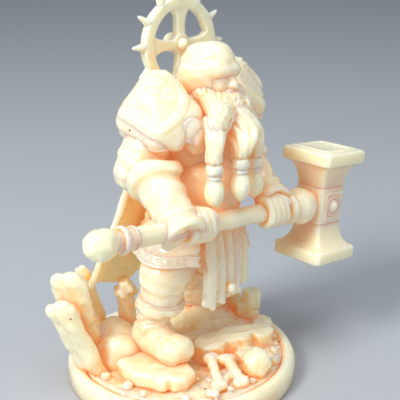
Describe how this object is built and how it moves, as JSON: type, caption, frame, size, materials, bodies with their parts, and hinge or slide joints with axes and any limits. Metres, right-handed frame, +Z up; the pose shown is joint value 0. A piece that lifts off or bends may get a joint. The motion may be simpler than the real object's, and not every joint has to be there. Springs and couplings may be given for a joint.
{
  "type": "resin printed miniature figure",
  "caption": "Stocky bearded hammer-bearer in armour with a spiked wheel behind the head, on a round base strewn with rocks and bones.",
  "frame": {"origin": "centre of the round base's underside", "axes": "+Z up, the figure faces -Y, its hammer head is towards +X"},
  "size_m": [0.0439, 0.032, 0.0528],
  "materials": {
    "resin_figure": "glossy cured photopolymer, cream and translucent",
    "resin_base": "glossy cured photopolymer, cream and translucent",
    "resin_thin": "glossy cured photopolymer, paler where it is thin"
  },
  "bodies": {
    "root": {"base_disc": "resin_base", "ground": "resin_base", "flagstones": "resin_base", "boot_slab": "resin_base", "boulder": "resin_base", "shard_tall": "resin_base", "shard_front": "resin_base", "shard_slim": "resin_base", "frilled_rock": "resin_base", "rear_rocks": "resin_base", "round_stone": "resin_base", "long_bones": "resin_base", "pebbles": "resin_base", "torso": "resin_figure", "belly": "resin_figure", "belt": "resin_figure", "tabard_left": "resin_figure", "tabard_middle": "resin_figure", "tabard_right": "resin_figure", "tabard_bead": "resin_thin", "coat_skirt": "resin_figure", "skirt_trim": "resin_figure", "cape": "resin_figure", "right_thigh": "resin_figure", "left_thigh": "resin_figure", "right_boot": "resin_figure", "left_boot": "resin_figure", "right_boot_cuff": "resin_figure", "left_boot_cuff": "resin_figure", "right_pauldron": "resin_figure", "right_pauldron_lame": "resin_figure", "left_pauldron": "resin_figure", "left_pauldron_lame": "resin_figure", "chest_flap": "resin_figure", "oval_clasp": "resin_figure", "right_sleeve": "resin_figure", "left_sleeve": "resin_figure", "right_bracer": "resin_figure", "left_bracer": "resin_figure", "right_hand": "resin_figure", "left_hand": "resin_figure", "haft": "resin_figure", "haft_collars": "resin_figure", "pommel": "resin_figure", "hammer_socket": "resin_figure", "hammer_collar": "resin_figure", "hammer_head": "resin_figure", "hammer_studs": "resin_figure", "hood": "resin_figure", "face": "resin_figure", "moustache": "resin_figure", "beard": "resin_figure", "braid_front": "resin_figure", "braid_middle": "resin_figure", "braid_rear": "resin_figure", "braid_clasps": "resin_thin", "braid_tips": "resin_thin", "halo_wheel": "resin_thin", "halo_spikes": "resin_thin", "halo_axle": "resin_thin"}
  },
  "joints": []
}
